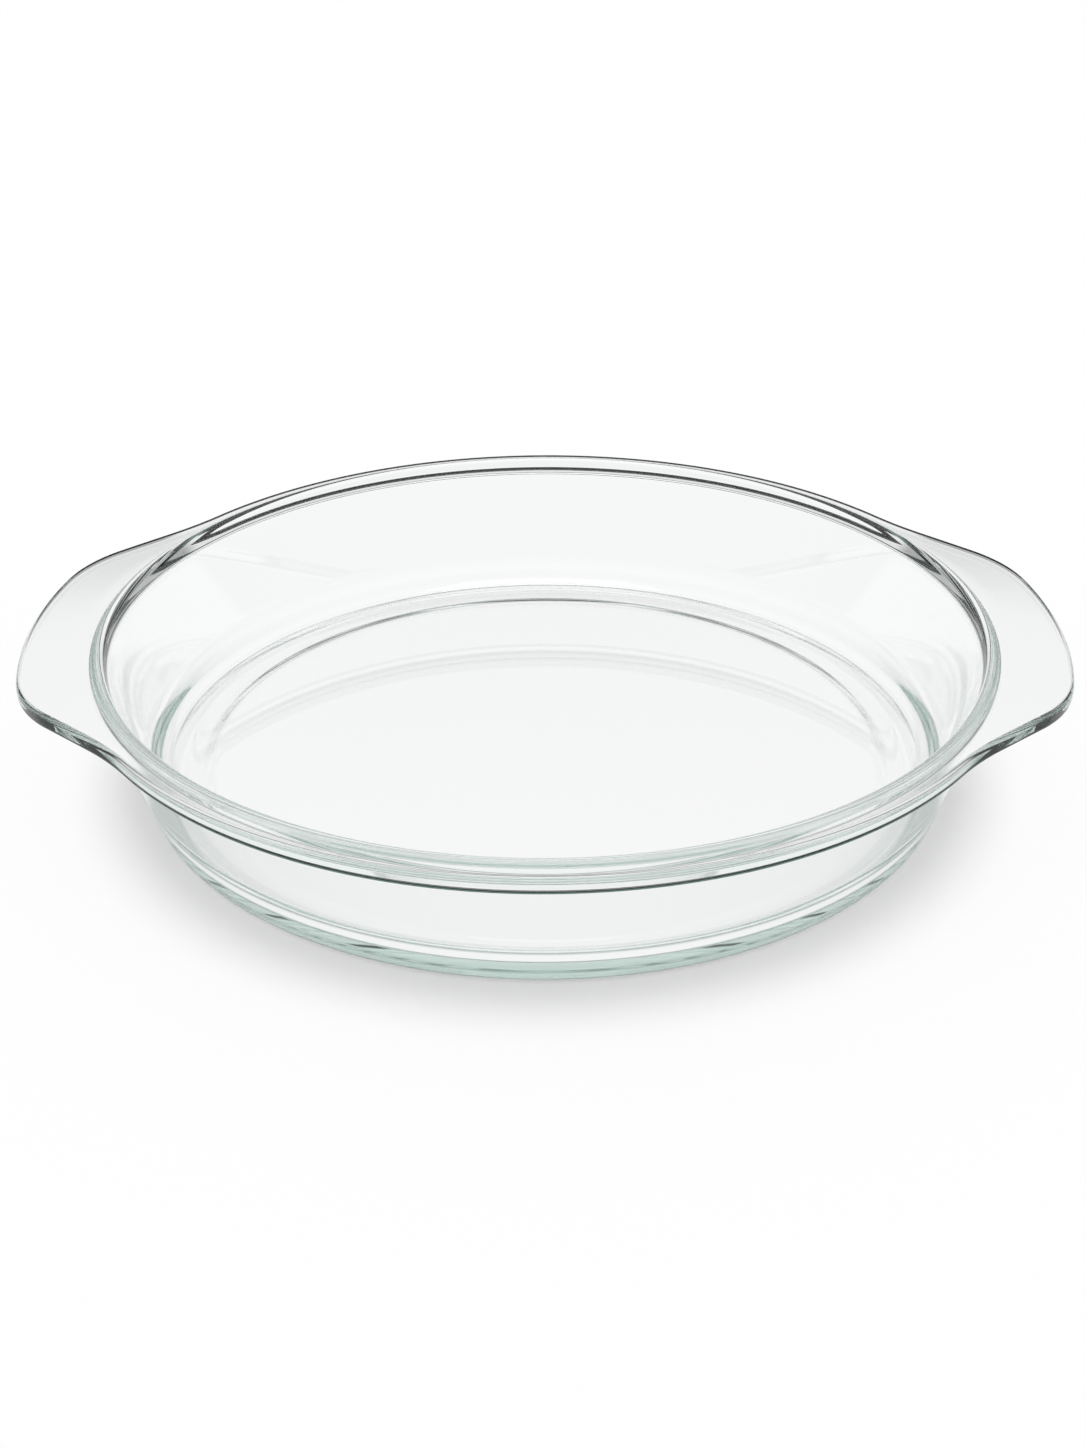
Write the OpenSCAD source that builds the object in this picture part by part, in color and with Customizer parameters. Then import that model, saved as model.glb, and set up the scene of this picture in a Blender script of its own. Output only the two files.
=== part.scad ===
// Glass pie dish with two flat handles, pressed in one piece.
// The origin is on the table under the middle of the floor, +Z is up, and the handles lie along X.

/* [Bowl] */
// Height from the table to the crown of the lip
height = 46.5; // [44:0.5:60]
// Outer diameter of the wall just under the rim band
neck_d = 269.6; // [262:0.2:272]
// Outer diameter of the wall carried straight down to the table
base_d = 244; // [225:1:250]
// Thickness of the sloping wall, square to its face
wall_t = 4.5; // [3.5:0.1:5]
// Thickness of the floor
floor_t = 5; // [4:0.1:7]
// Radius of the rounded heel outside
heel_r = 5; // [3:0.5:8]
// Radius of the round corner between floor and wall inside
corner_in_r = 14; // [8:0.5:18]

/* [Foot] */
// Width of the ring that the dish stands on
foot_w = 12; // [8:0.5:20]
// Height of the hollow inside that ring
foot_rise = 0.8; // [0.5:0.1:1.5]

/* [Rim] */
// Outer diameter of the rim band
rim_d = 281.6; // [278:0.2:300]
// Thickness of the rim band and of the handles
band_t = 5; // [4.6:0.1:6]
// Radius on the edges of the band and the handles
edge_r = 1.6; // [1:0.1:2]
// Height of the lip above the band
lip_rise = 1.3; // [0.8:0.1:2.5]
// Radius of the fillet where the lip meets the band
lip_fillet_r = 0.8; // [0.4:0.1:1.2]
// Radius of the fillet between the wall and the underside of the band
under_r = 2; // [1:0.1:2.5]

/* [Handles] */
// Distance from tip to tip
span = 314.2; // [308:0.2:330]
// Radius of the crown of each tip
tip_r = 160; // [120:10:500]
// Radius of the outer corners
corner_r = 42; // [36:1:46]
// Distance from the middle of the dish to the straight flank
flank_reach = 136.2; // [134:0.2:138]
// Direction that the flank faces, from the X axis
flank_angle = 48; // [44:0.2:50]
// Radius of the hollow where the flank runs into the rim
root_r = 100; // [50:5:120]
// Height by which the tips lie lower than the band
handle_fall = 0.8; // [0:0.1:1.5]

/* [Hidden] */
$fn = 180;
GLASS = [0.80, 0.90, 0.87, 0.45];
// Largest height of an arc over the straight line between two of its points
ARC_SAG = 0.04;
// Depth by which a fillet ends inside the plate that it runs into
SINK = 0.02;
// Level part of the plate outside the fillet of the lip, and least room between two of its rings
SHOULDER_GAP = 1;

rim_r = rim_d / 2;
band_top = height - lip_rise;
band_low = band_top - band_t;

// The outer wall is a straight cone from the table to the underside of the band.
neck_r = neck_d / 2;
base_r = base_d / 2;
lean = atan2(neck_r - base_r, band_low);
wall_h = wall_t / cos(lean);
function outer_r(z) = base_r + z * tan(lean);
function inner_r(z) = outer_r(z) - wall_h;

// The lip is the top of the wall, rounded over its full thickness.
lip_r = wall_t / 2;
lip_z = height - lip_r;
lip_mid = (outer_r(lip_z) + inner_r(lip_z)) / 2;

// Centres of the rounded corners at the foot of the wall, outside and inside.
heel_mid = outer_r(heel_r) - heel_r / cos(lean);
bend_z = floor_t + corner_in_r;
bend_mid = inner_r(bend_z) - corner_in_r / cos(lean);

// The fillets under the band and at the foot of the lip run out into the plate of the band.
under_z = band_low - under_r + SINK;
under_mid = outer_r(under_z) + under_r / cos(lean);
fillet_z = band_top + lip_fillet_r - SINK;
fillet_mid = lip_mid + sqrt(pow(lip_r + lip_fillet_r, 2) - pow(fillet_z - lip_z, 2));
fillet_turn = atan2(fillet_z - lip_z, fillet_mid - lip_mid);

// The dish stands on a ring, and the floor inside the ring is hollowed a little from below.
foot_in = heel_mid - foot_w;
foot_slope = 4 * foot_rise;

// Points of an arc round a centre, from one angle to another. An arc that starts where the one before
// ends leaves out its first point.
function arc(mid, r, from, to, first = 0) =
    let (steps = ceil(abs(to - from) / (2 * acos(1 - ARC_SAG / r))))
    [for (i = [first:steps]) let (a = from + (to - from) * i / steps) mid + r * [cos(a), sin(a)]];

// Section of the bowl: up the outside from the foot to the lip, and down the inside to the floor.
module bowl() {
    rotate_extrude()
        polygon(concat(
            [[0, foot_rise], [foot_in - foot_slope, foot_rise], [foot_in, 0]],
            arc([heel_mid, heel_r], heel_r, -90, -lean),
            arc([under_mid, under_z], under_r, 180 - lean, 90),
            arc([fillet_mid, fillet_z], lip_fillet_r, -90, -180 + fillet_turn),
            arc([lip_mid, lip_z], lip_r, fillet_turn, 180 - lean, 1),
            arc([bend_mid, bend_z], corner_in_r, -lean, -90),
            [[0, floor_t]]
        ));
}

// Outline of the handles: a crowned tip, round corners, straight flanks, and hollow roots that run
// into the rim. The stretches meet with no kink, so each centre follows from the one before.
tip_mid = span / 2 - tip_r;
corner_cos = (flank_reach - corner_r - tip_mid * cos(flank_angle)) / (tip_r - corner_r);
tip_turn = flank_angle - acos(corner_cos);
corner_mid = [tip_mid, 0] + (tip_r - corner_r) * [cos(tip_turn), sin(tip_turn)];
root_turn = flank_angle - acos((flank_reach + root_r) / (rim_r + root_r));
root_mid = (rim_r + root_r) * [cos(root_turn), sin(root_turn)];

// A quarter of the outline, from the middle of a tip to the middle of the rim, moved inwards by inset.
// The count of points comes from the outline itself, so that every inset has the same one.
function stretch(mid, r, inset, from, to, first = 0) =
    [for (p = arc([0, 0], r, from, to, first)) mid + p * (r - inset) / r];

function quarter(inset) = concat(
    stretch([tip_mid, 0], tip_r, inset, 0, tip_turn),
    stretch(corner_mid, corner_r, inset, tip_turn, flank_angle, 1),
    stretch(root_mid, root_r, -inset, 180 + flank_angle, 180 + root_turn),
    stretch([0, 0], rim_r, inset, root_turn, 90, 1)
);

function outline(inset) =
    let (q = quarter(inset), last = len(q) - 1)
    concat(
        q,
        [for (i = [last - 1:-1:0]) [-q[i][0], q[i][1]]],
        [for (i = [1:last]) -q[i]],
        [for (i = [last - 1:-1:1]) [q[i][0], -q[i][1]]]
    );

// The band and the handles are one plate round the wall, with its outer edge rounded. It is level as
// far as the shoulder and falls a little from there to the tips. Each ring of points is the outline at
// one height of the rounded edge. The rings that follow are the shoulder and the inside of the wall,
// or less where the outline comes in that far.
plate_in = (inner_r(band_top) + outer_r(band_low)) / 2;
shoulder = fillet_mid + SHOULDER_GAP;

function fall(p) = handle_fall * max(0, norm(p) - rim_r) / (span / 2 - rim_r);
function edge_ring(inset, z) =
    let (at = outline(inset), full = outline(0))
    [for (i = [0:len(at) - 1]) [at[i][0], at[i][1], z - fall(full[i])]];
function round_ring(r, gap, z) =
    [for (p = outline(0)) let (s = min(r, norm(p) - edge_r - gap) / norm(p)) [s * p[0], s * p[1], z]];

module plate() {
    edge = concat(
        arc([edge_r, band_low + edge_r], edge_r, -90, -180),
        arc([edge_r, band_top - edge_r], edge_r, -180, -270)
    );
    rings = concat(
        [for (e = edge) edge_ring(e[0], e[1])],
        [round_ring(shoulder, SHOULDER_GAP, band_top), round_ring(plate_in, 2 * SHOULDER_GAP, band_top)],
        [round_ring(plate_in, 2 * SHOULDER_GAP, band_low), round_ring(shoulder, SHOULDER_GAP, band_low)]
    );
    n = len(rings[0]);
    m = len(rings);
    polyhedron(
        [for (ring = rings) each ring],
        [for (k = [0:m - 1]) for (i = [0:n - 1])
            let (up = (k + 1) % m, on = (i + 1) % n)
            each [
                [k * n + i, up * n + i, up * n + on],
                [k * n + i, up * n + on, k * n + on]
            ]]
    );
}

module dish() {
    color(GLASS) {
        bowl();
        plate();
    }
}

dish();
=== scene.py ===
# %% [markdown]
# # A pressed glass pie dish, part by part
# The object is a round baking dish of clear glass. It has sloping sides, a rounded lip, a flat
# band outside the lip and two flat handles that grow out of the band. One mould made all of it in
# one stroke, so here it is one closed skin as well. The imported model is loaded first: it gives the
# frame, the size, and the solid that this skin stands for.

# %% Load the fixed frame
import math

import bmesh
import bpy
from mathutils import Matrix, Vector


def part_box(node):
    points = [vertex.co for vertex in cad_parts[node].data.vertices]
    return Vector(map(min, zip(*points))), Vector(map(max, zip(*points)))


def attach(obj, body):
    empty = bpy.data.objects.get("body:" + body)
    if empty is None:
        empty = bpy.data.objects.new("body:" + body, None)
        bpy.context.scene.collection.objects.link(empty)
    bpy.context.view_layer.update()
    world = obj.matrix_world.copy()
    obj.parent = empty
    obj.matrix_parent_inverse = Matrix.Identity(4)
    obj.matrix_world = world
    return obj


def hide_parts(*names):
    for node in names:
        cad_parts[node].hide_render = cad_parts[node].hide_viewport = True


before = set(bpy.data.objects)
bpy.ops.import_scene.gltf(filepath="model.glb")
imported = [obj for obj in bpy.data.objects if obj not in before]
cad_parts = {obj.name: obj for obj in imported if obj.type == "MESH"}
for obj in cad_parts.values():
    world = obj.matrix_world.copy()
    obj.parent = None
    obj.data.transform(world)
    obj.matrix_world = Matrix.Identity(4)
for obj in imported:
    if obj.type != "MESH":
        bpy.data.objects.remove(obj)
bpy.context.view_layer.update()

MM = 0.001
scene = bpy.context.scene
low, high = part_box("dish")
print("The dish is", [round(1000 * (b - a), 1) for a, b in zip(low, high)], "mm")

# %% [markdown]
# ## The section
# The mould for such a dish is turned on a lathe, and so is the skin. A lathe needs one thing, the
# section: the line that runs from the middle of the underside out to the foot, up the outside,
# over the lip and down the inside to the middle of the floor. It could be a list of points. A pen
# does it better: one vertex is pushed along straight runs by an extrude, and round the corners by
# a spin, so that every corner has the radius of the real one.

# %% Sizes of the section, in millimetres
HEIGHT = 46.5        # from the table to the crown of the lip
NECK_R = 134.8       # outside of the wall just under the band
BASE_R = 122.0       # outside of the wall carried down to the table
WALL = 4.5           # glass, square to the wall
FLOOR = 5.0
HEEL = 5.0           # rounded heel outside
BEND = 14.0          # round corner between floor and wall inside
FOOT = 12.0          # width of the ring that it stands on
HOLLOW = 0.8         # the floor inside that ring is this much higher
KINK = 6.0           # radius on both ends of the slope of the hollow
RIM_R = 140.8        # outside of the band
BAND = 5.0           # thickness of the band and of the handles
EDGE = 1.6           # rounding of their edges
LIP_RISE = 1.3       # lip above the band
LIP_FILLET = 0.8
UNDER = 2.0          # fillet between wall and band

band_top = HEIGHT - LIP_RISE
band_low = band_top - BAND
lean = math.atan2(NECK_R - BASE_R, band_low)
wall_across = WALL / math.cos(lean)


def outer(z):
    """Radius of the outer face of the wall at height z."""
    return BASE_R + z * math.tan(lean)


def inner(z):
    """Radius of the inner face of the wall at height z."""
    return outer(z) - wall_across


print("The wall leans out by", round(math.degrees(lean), 1), "degrees")


# %% A pen that draws runs and corners
def start(bm, r, z):
    """Set the pen down at radius r and height z."""
    return bmesh.ops.create_vert(bm, co=(r * MM, 0, z * MM))["vert"][0]


def run(bm, pen, r, z, between=()):
    """Draw a straight run, with extra points at these shares of it."""
    a, b = pen.co.copy(), Vector((r * MM, 0, z * MM))
    for share in [*between, 1.0]:
        pen = bmesh.ops.extrude_vert_indiv(bm, verts=[pen])["verts"][0]
        pen.co = a.lerp(b, share)
    return pen


def corner(bm, pen, r, z, turn, steps):
    """Draw an arc round the centre (r, z), to the left for a positive turn in degrees."""
    return bmesh.ops.spin(
        bm, geom=[pen], cent=(r * MM, 0, z * MM), axis=(0, -1, 0),
        angle=math.radians(turn), steps=steps, use_duplicate=False,
    )["geom_last"][0]


# %% [markdown]
# ## Drawing the section
# Smooth shading blends the normals of neighbouring faces. Beside a rounded corner that would bend
# a flat face, and in glass a bent face is a lens. So every straight run has a point close to each
# end that holds it flat.

# %% Draw it
PLATE = (0.06, 0.35, 0.7, 0.94)   # shares of a run, more where the handles will be drawn out
SLOPE = (0.02, 0.35, 0.67, 0.98)  # and on the long slopes of the wall

deg = math.degrees(lean)
under_z = band_low - UNDER
under_mid = outer(under_z) + UNDER / math.cos(lean)
heel_mid = outer(HEEL) - HEEL / math.cos(lean)
lip_r = WALL / 2
lip_z = HEIGHT - lip_r
lip_mid = (outer(lip_z) + inner(lip_z)) / 2
fillet_z = band_top + LIP_FILLET
fillet_mid = lip_mid + math.sqrt((lip_r + LIP_FILLET) ** 2 - (fillet_z - lip_z) ** 2)
fillet_turn = math.degrees(math.atan2(fillet_z - lip_z, fillet_mid - lip_mid))
bend_z = FLOOR + BEND
bend_mid = inner(bend_z) - BEND / math.cos(lean)
foot_in = heel_mid - FOOT
slope_w = 4 * HOLLOW  # the ring slopes up to the hollow over this width
slope = math.atan2(HOLLOW, slope_w)
ease = KINK * math.tan(slope / 2)

bm = bmesh.new()
pen = start(bm, 0, HOLLOW)
pen = run(bm, pen, foot_in - slope_w - ease, HOLLOW, (0.3, 0.6, 0.9, 0.99))
pen = corner(bm, pen, foot_in - slope_w - ease, HOLLOW - KINK, -math.degrees(slope), 3)
pen = run(bm, pen, foot_in - ease * math.cos(slope), ease * math.sin(slope))
pen = corner(bm, pen, foot_in + ease, KINK, math.degrees(slope), 3)
pen = run(bm, pen, heel_mid, 0, (0.05, 0.95))
pen = corner(bm, pen, heel_mid, HEEL, 90 - deg, 16)
pen = run(bm, pen, under_mid - UNDER * math.cos(lean), under_z + UNDER * math.sin(lean), SLOPE)
pen = corner(bm, pen, under_mid, under_z, deg - 90, 9)
pen = run(bm, pen, RIM_R - EDGE, band_low, PLATE)
pen = corner(bm, pen, RIM_R - EDGE, band_low + EDGE, 90, 11)
pen = run(bm, pen, RIM_R, band_top - EDGE, (0.1, 0.9))
pen = corner(bm, pen, RIM_R - EDGE, band_top - EDGE, 90, 11)
pen = run(bm, pen, fillet_mid, band_top, PLATE)
pen = corner(bm, pen, fillet_mid, fillet_z, fillet_turn - 90, 8)
pen = corner(bm, pen, lip_mid, lip_z, 180 - deg - fillet_turn, 30)
pen = run(bm, pen, bend_mid + BEND * math.cos(lean), bend_z - BEND * math.sin(lean), SLOPE)
pen = corner(bm, pen, bend_mid, bend_z, deg - 90, 18)
pen = run(bm, pen, 0, FLOOR, (0.01, 0.1, 0.4, 0.7))
print("Section drawn with", len(bm.verts), "points")

# %% [markdown]
# ## Turning it
# The dish is the same in its four quarters, so only one quarter is turned, a right angle in small
# steps. The handle is shaped on that quarter, and two mirrors make the whole. The two points on
# the axis are turned too, into a heap of copies, so the doubles are merged before anything else
# looks at the faces.

# %% Turn a quarter
STEPS = 160   # steps in a right angle, a little over half a degree each
MERGE = 1e-6  # metres, points closer than this are one

bmesh.ops.spin(bm, geom=bm.verts[:] + bm.edges[:], cent=(0, 0, 0), axis=(0, 0, 1),
               angle=math.pi / 2, steps=STEPS, use_duplicate=False)
bmesh.ops.remove_doubles(bm, verts=bm.verts[:], dist=MERGE)
print("A quarter has", len(bm.faces), "faces")

# %% [markdown]
# ## Drawing out the handles
# On the real dish the handles are the band made wider: the same thickness, the same rounded edge,
# no seam. Two flat plates pushed into the rim would leave a crease that glass shows at once. So
# the outer rings of the turned skin are pulled outwards until they lie on the outline of the
# handles. The outline is made of a crowned tip, a round corner, a straight flank and a hollow
# root.

# %% Outline of a quarter of the rim
SPAN = 314.2          # from tip to tip
TIP = 160.0           # radius of the crown of a tip
CORNER = 42.0
FLANK = 136.2         # distance from the middle of the dish to the straight flank
FLANK_TURN = math.radians(48.0)
ROOT = 100.0          # radius of the hollow where the flank runs into the rim

tip_mid = Vector((SPAN / 2 - TIP, 0))
tip_turn = FLANK_TURN - math.acos(
    (FLANK - CORNER - tip_mid.x * math.cos(FLANK_TURN)) / (TIP - CORNER)
)
corner_mid = tip_mid + (TIP - CORNER) * Vector((math.cos(tip_turn), math.sin(tip_turn)))
root_turn = FLANK_TURN - math.acos((FLANK + ROOT) / (RIM_R + ROOT))
root_mid = (RIM_R + ROOT) * Vector((math.cos(root_turn), math.sin(root_turn)))
flank_out = Vector((math.cos(FLANK_TURN), math.sin(FLANK_TURN)))


def polar(p):
    """Direction of a point from the middle of the dish."""
    return math.atan2(p.y, p.x)


after_tip = polar(corner_mid + CORNER * Vector((math.cos(tip_turn), math.sin(tip_turn))))
after_corner = polar(corner_mid + CORNER * flank_out)
after_flank = polar(root_mid - ROOT * flank_out)


def ray_to_circle(ray, mid, radius, far):
    """Where a ray from the middle of the dish meets a circle, at its far or its near side."""
    along = ray.dot(mid)
    half = math.sqrt(radius ** 2 - mid.length_squared + along ** 2)
    return ray * (along + half if far else along - half)


def outline(turn):
    """Point of the outline in this direction of the first quarter, and which way it faces."""
    ray = Vector((math.cos(turn), math.sin(turn)))
    if turn < after_tip:
        p = ray_to_circle(ray, tip_mid, TIP, True)
        return p, (p - tip_mid).normalized()
    if turn < after_corner:
        p = ray_to_circle(ray, corner_mid, CORNER, True)
        return p, (p - corner_mid).normalized()
    if turn < after_flank:
        return ray * (FLANK / ray.dot(flank_out)), flank_out
    if turn < root_turn:
        p = ray_to_circle(ray, root_mid, ROOT, False)
        return p, (root_mid - p).normalized()
    return ray * RIM_R, ray


ends = after_tip, after_corner, after_flank, root_turn
print("Handle stretches end at", [round(math.degrees(a), 1) for a in ends])

# %% Pull the outer rings to the outline
INSIDE = {True: fillet_mid, False: under_mid}  # where the plate starts, on top and below
SHOULDER = fillet_mid + 1.0  # as far as here the plate is level
FALL = 0.8                   # the tips lie this much lower
TOUCH = 1e-3                 # points this close to a line are on it
for v in bm.verts:
    flat = v.co.xy / MM
    top = v.co.z / MM > band_top - EDGE
    start_r = INSIDE[top]
    if flat.length < start_r + TOUCH or not band_low - TOUCH < v.co.z / MM < band_top + TOUCH:
        continue
    p, out = outline(polar(flat))
    inset = min(RIM_R - flat.length, EDGE)
    edge_at = p - inset * out
    share = min(1.0, (flat.length - start_r) / (RIM_R - EDGE - start_r))
    first = start_r * p.normalized()
    q = first.lerp(edge_at, share)
    reach = min(1.0, max(0.0, (q.length - SHOULDER) / (edge_at.length - SHOULDER)))
    fall = FALL * max(0.0, p.length - RIM_R) / (SPAN / 2 - RIM_R)
    v.co = (q.x * MM, q.y * MM, v.co.z - fall * reach * MM)

# %% Mirror the quarter twice and make the object
for axis in "XY":
    bmesh.ops.mirror(bm, geom=bm.verts[:] + bm.edges[:] + bm.faces[:], axis=axis, merge_dist=MERGE)
bmesh.ops.remove_doubles(bm, verts=bm.verts[:], dist=MERGE)
bmesh.ops.recalc_face_normals(bm, faces=bm.faces[:])
skin = bpy.data.meshes.new("pressed_dish")
bm.to_mesh(skin)
bm.free()
skin.shade_smooth()
dish = bpy.data.objects.new("pressed_dish", skin)
scene.collection.objects.link(dish)
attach(dish, "root")
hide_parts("dish")
print("Dish skin has", len(skin.polygons), "faces")


# %% [markdown]
# ## Soda-lime glass
# Household glass is sand, soda and lime. It bends light by an index of 1.52, and the trace of iron
# in the sand takes out red, so the glass is colourless face on and sea green along a long way, as
# at the foot and the rim. That belongs in the volume and not in the surface colour. The mould
# leaves a skin that is polished by fire but never quite flat, and the ring that it stands on is a
# little duller.
#
# A glass rim has a thin dark outline. Light that runs inside the plate is thrown back by the outer
# edge and leaves the glass far from where it came in, so the eye sees some dark place there. A
# room of a few shades has too few such places. So that the rim keeps its outline in any light, that
# outline is painted: on the inner side of the edge a dark matt shade stands in for most of the light
# that it would throw back, and on the handles for half of all the light that reaches it. On the
# lower rounding of the edge a dark green shade is painted into the colour of the glass.

# %% Helpers for colours and nodes
def colour(code):
    """A #RRGGBB colour in linear light."""
    parts = [int(code[i:i + 2], 16) / 255 for i in (1, 3, 5)]
    return (*[c / 12.92 if c <= 0.04045 else ((c + 0.055) / 1.055) ** 2.4 for c in parts], 1.0)


def add(tree, kind, into=None, **settings):
    """Add a node with its settings. The sockets named or numbered in into get a link or a value."""
    node = tree.nodes.new(kind)
    for name, value in settings.items():
        setattr(node, name, value)
    for name, value in (into or {}).items():
        if isinstance(value, bpy.types.NodeSocket):
            tree.links.new(value, node.inputs[name])
        else:
            node.inputs[name].default_value = value
    return node


# %% Polish and unevenness of the skin
GLASS_IOR = 1.52
WAVE_MM = 14.0        # length of the slow waves that the mould leaves
WAVE_HIGH = 0.0005    # their height in millimetres
MARK_MM = 2.5         # fine unevenness of the fire-polished skin
MARK_HIGH = 0.0001
POLISH = (0.0, 0.02)  # best and poorest roughness of the polish

glass = bpy.data.materials.new("soda_lime_glass_pressed")
glass.use_nodes = True
tree = glass.node_tree
tree.nodes.clear()
place = add(tree, "ShaderNodeTexCoord").outputs
waves = add(tree, "ShaderNodeTexNoise", {
    "Vector": place["Object"], "Scale": 1 / (WAVE_MM * MM), "Detail": 1.0, "Roughness": 0.4,
}).outputs["Fac"]
marks = add(tree, "ShaderNodeTexNoise", {
    "Vector": place["Object"], "Scale": 1 / (MARK_MM * MM), "Detail": 2.0, "Roughness": 0.5,
}).outputs["Fac"]
slow = add(tree, "ShaderNodeBump", {"Height": waves, "Distance": WAVE_HIGH * MM, "Strength": 1.0})
fine = add(tree, "ShaderNodeBump", {
    "Height": marks, "Distance": MARK_HIGH * MM, "Strength": 1.0, "Normal": slow.outputs["Normal"],
})
polish = add(tree, "ShaderNodeMapRange", {
    "Value": waves, "From Min": 0.3, "From Max": 0.7, "To Min": POLISH[0], "To Max": POLISH[1],
})
print("Glass skin has waves of", WAVE_MM, "mm and marks of", MARK_MM, "mm")

# %% Where the foot ring and the edge are, and where the dark outline is painted
RING_MATT = 0.1              # roughness of the ring that the dish stands on
RING_MM = (0.1, 0.5)         # it ends between these heights
BAND_MM = (137.6, 138.6)     # the edge of the band begins between these radii
HANDLE_MM = (142.0, 145.0)   # and what lies further out than these is the edge of a handle
BAND_OUTLINE_SHARE = 0.95     # painted dark outline: so much of the light that the edge would throw back is replaced by dark shade
HANDLE_OUTLINE_SHARE = 0.5           # and so much of all the light on the edge of a handle is painted dark
FLAT_BELOW = (-0.99, -0.93)  # height of the normal, from the flat underside to its rounding
ROUND_BELOW = (-0.15, 0.0)   # from that rounding to the upright face
UPRIGHT = (0.45, 0.65)       # from the upright face well into the roundings, either way
ROUNDED = (0.9, 0.97)        # from the roundings to the flat faces, either way

level = add(tree, "ShaderNodeVectorMath", {0: place["Object"], 1: (1, 1, 0)}, operation="MULTIPLY")
radius = add(tree, "ShaderNodeVectorMath", {0: level.outputs["Vector"]}, operation="LENGTH")
high = add(tree, "ShaderNodeSeparateXYZ", {"Vector": place["Object"]}).outputs["Z"]
faces = add(tree, "ShaderNodeSeparateXYZ", {"Vector": place["Normal"]}).outputs["Z"]
slant = add(tree, "ShaderNodeMath", {0: faces}, operation="ABSOLUTE").outputs[0]
value = {
    "polish": polish.outputs["Result"],
    "from within": add(tree, "ShaderNodeNewGeometry").outputs["Backfacing"],
    "thrown back": add(tree, "ShaderNodeFresnel", {"IOR": GLASS_IOR}).outputs["Fac"],
}
for name, source, at, to in (
    ("foot ring", high, [MM * z for z in RING_MM], (RING_MATT, 0.0)),
    ("outside the band", radius.outputs["Value"], [MM * r for r in BAND_MM], (0.0, 1.0)),
    ("on a handle", radius.outputs["Value"], [MM * r for r in HANDLE_MM], (0.0, 1.0)),
    ("below upright", faces, ROUND_BELOW, (1.0, 0.0)),
    ("above flat", faces, FLAT_BELOW, (0.0, 1.0)),
    ("upright", slant, UPRIGHT, (BAND_OUTLINE_SHARE, 0.0)),
    ("upright or round", slant, ROUNDED, (HANDLE_OUTLINE_SHARE, 0.0)),
):
    value[name] = add(tree, "ShaderNodeMapRange", {
        "Value": source, "From Min": at[0], "From Max": at[1], "To Min": to[0], "To Max": to[1],
    }, interpolation_type="SMOOTHSTEP").outputs["Result"]
# The masks named ends mark where the dark outline is painted on the inner side of the edge.
for name, operation, a, b in (
    ("rough", "MAXIMUM", "polish", "foot ring"),
    ("lower rounding", "MULTIPLY", "below upright", "above flat"),
    ("painted dark lower edge", "MULTIPLY", "lower rounding", "outside the band"),
    ("painted outline at the band", "MULTIPLY", "upright", "thrown back"),
    ("painted outline at a handle", "MULTIPLY", "upright or round", "on a handle"),
    ("ends", "MAXIMUM", "painted outline at the band", "painted outline at a handle"),
    ("painted outline at the edge", "MULTIPLY", "ends", "outside the band"),
    ("ends inside", "MULTIPLY", "painted outline at the edge", "from within"),
):
    value[name] = add(tree, "ShaderNodeMath", {
        0: value[a], 1: value[b],
    }, operation=operation).outputs[0]
print("Masks of the glass:", ", ".join(value))

# %% The glass
CLEAR = "#FFFFFF"
PAINTED_DARK_LOWER_EDGE = "#1F3A33"  # painted dark green shade on the lower rounding of the edge
PAINTED_OUTLINE_SHADE = "#0B1210"    # painted dark shade, where the outline of the edge is drawn
GLASS_TINT = "#C6E0D8"  # colour that a long way through the glass turns to
GLASS_DENSITY = 3.8     # per metre

# Dark green shade painted into the colour of the glass on the lower rounding of the edge.
painted_edge_shade = add(tree, "ShaderNodeMix", {
    0: value["painted dark lower edge"], 6: colour(CLEAR), 7: colour(PAINTED_DARK_LOWER_EDGE),
}, data_type="RGBA", blend_type="MULTIPLY")
surface = add(tree, "ShaderNodeBsdfPrincipled", {
    "Base Color": painted_edge_shade.outputs[2], "Roughness": value["rough"], "Normal": fine.outputs["Normal"],
    "IOR": GLASS_IOR, "Transmission Weight": 1.0,
})
dark = add(tree, "ShaderNodeBsdfDiffuse", {"Color": colour(PAINTED_OUTLINE_SHADE)})
# The painted dark outline: a dark matt shade mixed into the glass there.
edged = add(tree, "ShaderNodeMixShader", {
    0: value["ends inside"], 1: surface.outputs["BSDF"], 2: dark.outputs["BSDF"],
})
depth = add(tree, "ShaderNodeVolumeAbsorption", {
    "Color": colour(GLASS_TINT), "Density": GLASS_DENSITY,
})
add(tree, "ShaderNodeOutputMaterial", {
    "Surface": edged.outputs["Shader"], "Volume": depth.outputs["Volume"],
})
skin.materials.append(glass)
print("Glass made with index", GLASS_IOR)

# %% [markdown]
# ## Table, room and lamp
# Clear glass shows only what is round it. In the picture that is white nearly everywhere: a white
# table that is bright under and behind the dish, and a white room. The dark lines come from a dark
# gap low behind the table, which only the roundings of the glass turn the view to. So the world
# has walls that whiten upwards, with that gap in them, for the glass alone. The camera and the
# matt table see a plain white world. The table is a matt floor that keeps the shadow. Away from
# the dish the camera sees more and more of a light of its own in it, so that it fades into a white
# page. The glass sees the table by that light too, with the faint green shade of the dish in
# front.

# %% The table
TABLE_HALF = 12.0             # metres from the middle to a side
PAGE_RADII = (0.118, 0.150)   # from the foot out, the table fades into the page
PAGE_SHARES = (0.05, 0.90)    # by these shares of its own light
DISC_RADII = (0.119, 0.125)   # it shines up through the floor of the dish, and ends between these
BACK_FROM = (-0.07, -0.02)    # it shines from here on towards the back
SHINE = 0.97                  # brightness of both
FRONT_RADII = (0.15, 0.30)    # in front of them lies the shade of the dish
FRONT_SHADES = (0.65, 0.90)   # near the dish and further out
FRONT_TINT = "#BDD8CF"        # green, because that light has come through the glass
WHITE = "#FFFFFF"
MATT_WHITE = "#FAFAFA"

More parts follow.
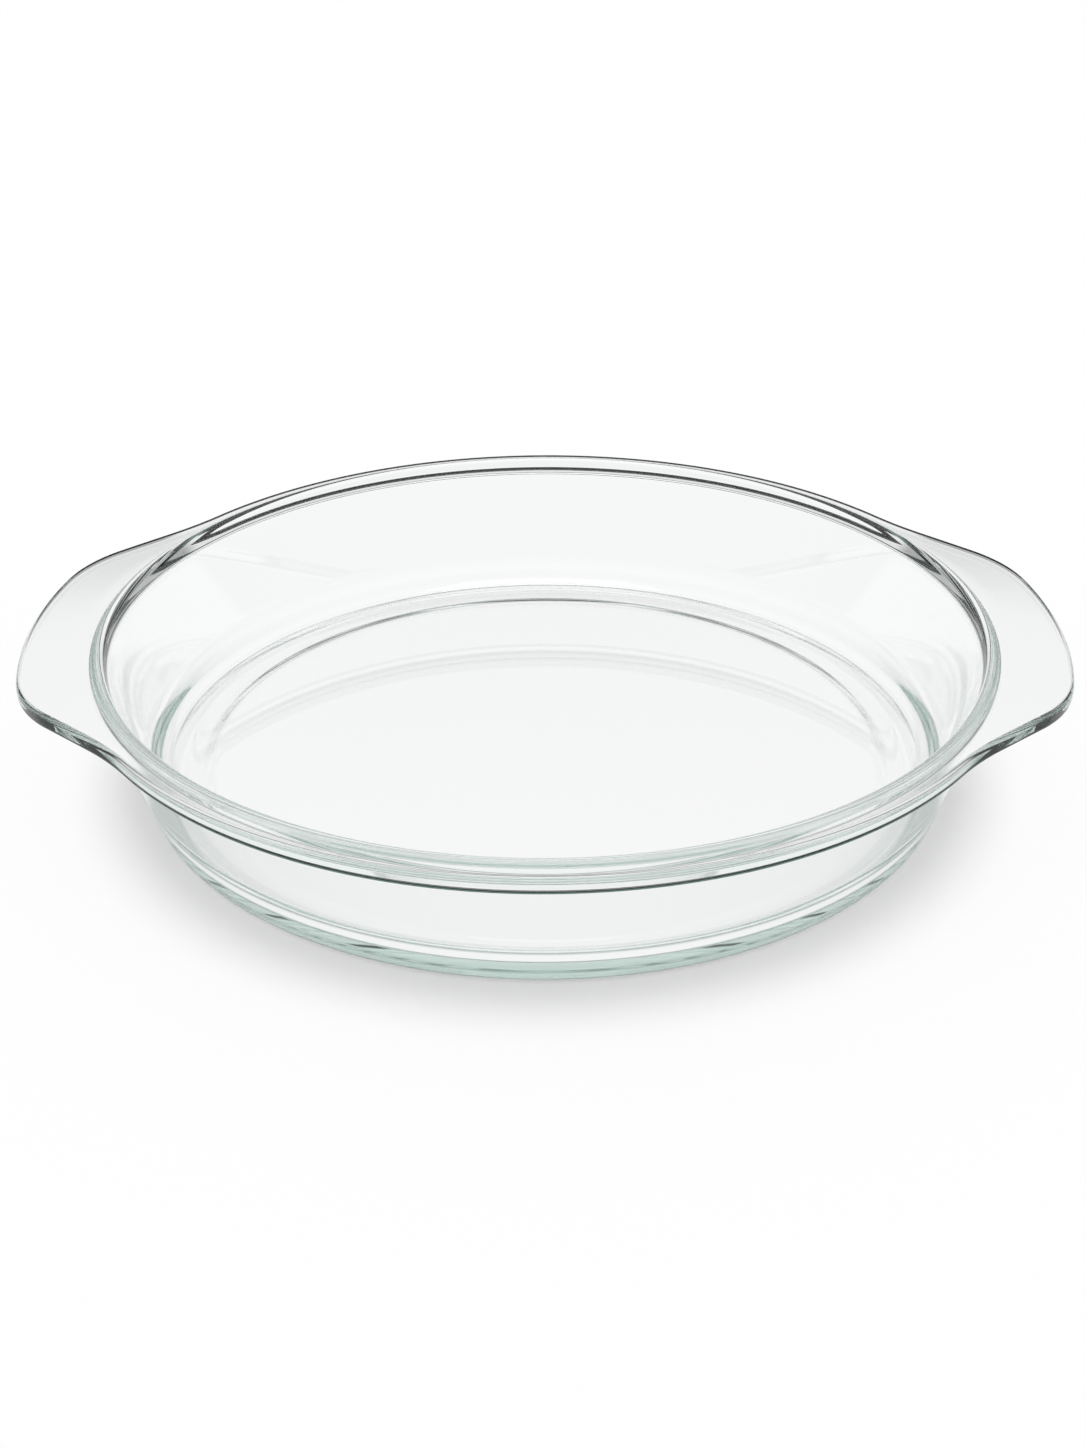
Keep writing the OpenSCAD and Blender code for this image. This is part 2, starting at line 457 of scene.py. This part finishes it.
bm = bmesh.new()
bmesh.ops.create_grid(bm, x_segments=1, y_segments=1, size=TABLE_HALF)
table_mesh = bpy.data.meshes.new("table")
bm.to_mesh(table_mesh)
bm.free()
table = bpy.data.objects.new("table", table_mesh)
scene.collection.objects.link(table)

paper = bpy.data.materials.new("white_acrylic_table")
paper.use_nodes = True
tree = paper.node_tree
tree.nodes.clear()
ray = add(tree, "ShaderNodeLightPath").outputs
place = add(tree, "ShaderNodeTexCoord").outputs["Object"]
radius = add(tree, "ShaderNodeVectorMath", {0: place}, operation="LENGTH").outputs["Value"]
across = add(tree, "ShaderNodeSeparateXYZ", {"Vector": place}).outputs["Y"]
value = {
    "camera": ray["Is Camera Ray"],
    "glossy": ray["Is Glossy Ray"],
    "through glass": ray["Is Transmission Ray"],
}
for name, source, at, to in (
    ("disc", radius, DISC_RADII, (SHINE, 0.0)),
    ("back", across, BACK_FROM, (0.0, SHINE)),
    ("front", radius, FRONT_RADII, FRONT_SHADES),
    ("page", radius, PAGE_RADII, PAGE_SHARES),
):
    value[name] = add(tree, "ShaderNodeMapRange", {
        "Value": source, "From Min": at[0], "From Max": at[1], "To Min": to[0], "To Max": to[1],
    }, interpolation_type="SMOOTHSTEP").outputs["Result"]
for name, operation, a, b in (
    ("shining", "MAXIMUM", "disc", "back"),
    ("lit", "MAXIMUM", "shining", "front"),
    ("power", "MAXIMUM", "lit", "camera"),
    ("glass sees", "MAXIMUM", "glossy", "through glass"),
    ("camera sees", "MULTIPLY", "camera", "page"),
    ("share", "MAXIMUM", "glass sees", "camera sees"),
):
    value[name] = add(tree, "ShaderNodeMath", {
        0: value[a], 1: value[b],
    }, operation=operation).outputs[0]
matt = add(tree, "ShaderNodeBsdfDiffuse", {"Color": colour(MATT_WHITE)})
hue = add(tree, "ShaderNodeMix", {
    0: value["power"], 6: colour(FRONT_TINT), 7: colour(WHITE),
}, data_type="RGBA")
glow = add(tree, "ShaderNodeEmission", {"Strength": value["power"], "Color": hue.outputs[2]})
total = add(tree, "ShaderNodeMixShader", {
    0: value["share"], 1: matt.outputs["BSDF"], 2: glow.outputs["Emission"],
})
add(tree, "ShaderNodeOutputMaterial", {"Surface": total.outputs["Shader"]})
table_mesh.materials.append(paper)
print("Table is", 2 * TABLE_HALF, "m wide")

# %% The room
WALL_SHADES = (  # degrees above the table, and the shade from there on
    (-90, "#C8C8C8"),
    (20, "#D2D2D2"),
    (34, "#E8E8E8"),
    (52, WHITE),
)
GAP_TOP = (20, 24)      # degrees above the table where the gap ends
GAP_SIDE = (0.25, 0.6)  # it opens as the view turns to the back, between these shares of Y
GAP_SHADE = "#16231F"

world = bpy.data.worlds.new("studio_room")
world.use_nodes = True
scene.world = world
tree = world.node_tree
tree.nodes.clear()
aim = add(tree, "ShaderNodeTexCoord").outputs["Generated"]
way = add(tree, "ShaderNodeSeparateXYZ", {"Vector": aim}).outputs
climb = add(tree, "ShaderNodeMapRange", {"Value": way["Z"], "From Min": -1.0, "From Max": 1.0})
ramp = add(tree, "ShaderNodeValToRGB", {"Fac": climb.outputs["Result"]})
for i, (up, code) in enumerate(WALL_SHADES):
    at = (math.sin(math.radians(up)) + 1) / 2
    stop = ramp.color_ramp.elements[i] if i < 2 else ramp.color_ramp.elements.new(at)
    stop.position, stop.color = at, colour(code)
gap_top = [math.sin(math.radians(up)) for up in GAP_TOP]
low_down, behind = [
    add(tree, "ShaderNodeMapRange", {
        "Value": source, "From Min": at[0], "From Max": at[1], "To Min": to[0], "To Max": to[1],
    }, interpolation_type="SMOOTHSTEP").outputs["Result"]
    for source, at, to in ((way["Z"], gap_top, (1.0, 0.0)), (way["Y"], GAP_SIDE, (0.0, 1.0)))
]
in_gap = add(tree, "ShaderNodeMath", {0: low_down, 1: behind}, operation="MULTIPLY")
walls = add(tree, "ShaderNodeBackground", {"Color": ramp.outputs["Color"], "Strength": 1.0})
gap = add(tree, "ShaderNodeBackground", {"Color": colour(GAP_SHADE), "Strength": 1.0})
room = add(tree, "ShaderNodeMixShader", {
    0: in_gap.outputs[0], 1: walls.outputs["Background"], 2: gap.outputs["Background"],
})
plain = add(tree, "ShaderNodeBackground", {"Color": colour(WHITE), "Strength": 1.0})
ray = add(tree, "ShaderNodeLightPath").outputs
glass_sees = add(tree, "ShaderNodeMath", {
    0: ray["Is Glossy Ray"], 1: ray["Is Transmission Ray"],
}, operation="MAXIMUM")
either = add(tree, "ShaderNodeMixShader", {
    0: glass_sees.outputs[0], 1: plain.outputs["Background"], 2: room.outputs["Shader"],
})
add(tree, "ShaderNodeOutputWorld", {"Surface": either.outputs["Shader"]})
print("Room is white, with a dark gap behind up to", GAP_TOP, "degrees")

# %% The lamp
LAMP_AT = Vector((0.0, 0.5, 1.6))  # over the dish and a little behind it
LAMP_SIZE, LAMP_WATTS = 0.5, 1.0

lamp = bpy.data.lights.new("overhead", "AREA")
lamp.shape, lamp.size, lamp.energy = "SQUARE", LAMP_SIZE, LAMP_WATTS
holder = bpy.data.objects.new("overhead", lamp)
holder.location = LAMP_AT
holder.rotation_euler = (-LAMP_AT).to_track_quat("-Z", "Y").to_euler()
scene.collection.objects.link(holder)
print("Lamp hangs", round(LAMP_AT.z, 2), "m up")

# %% [markdown]
# ## Camera
# The camera stands in front of the dish and looks down on it by about 29 degrees. Its place was
# worked out from the ellipses of the rim, the lip and the foot in the picture.

# %% Set the camera
LIGHT_TURNS = 60          # light from the heel turns this often between the faces of the floor
LENS_PX = 2000.0          # focal length in pixels of a frame 1448 high
FRAME_HIGH = 1448
SENSOR = 36.0
AWAY = 0.60918            # metres from the middle of the band's top edge
DOWN = math.radians(26.151)
PITCH = math.radians(29.02)
YAW = math.radians(0.068)
ROLL = math.radians(-0.228)
ROUND_DISH = math.radians(0.5)  # the dish isn't quite square to the camera

eye = bpy.data.cameras.new("camera")
eye.sensor_fit, eye.sensor_height = "VERTICAL", SENSOR
eye.lens = LENS_PX * SENSOR / FRAME_HIGH
camera = bpy.data.objects.new("camera", eye)
camera.matrix_world = (
    Matrix.Rotation(ROUND_DISH, 4, "Z")
    @ Matrix.Translation((0, -AWAY * math.cos(DOWN), band_top * MM + AWAY * math.sin(DOWN)))
    @ Matrix.Rotation(YAW, 4, "Z")
    @ Matrix.Rotation(math.radians(90) - PITCH, 4, "X")
    @ Matrix.Rotation(ROLL, 4, "Z")
)
scene.collection.objects.link(camera)
scene.camera = camera
scene.view_settings.view_transform = "Standard"
scene.cycles.max_bounces = LIGHT_TURNS
scene.cycles.transmission_bounces = LIGHT_TURNS
scene.cycles.glossy_bounces = LIGHT_TURNS
print("Camera stands", [round(c, 3) for c in camera.location], "lens", round(eye.lens, 2))
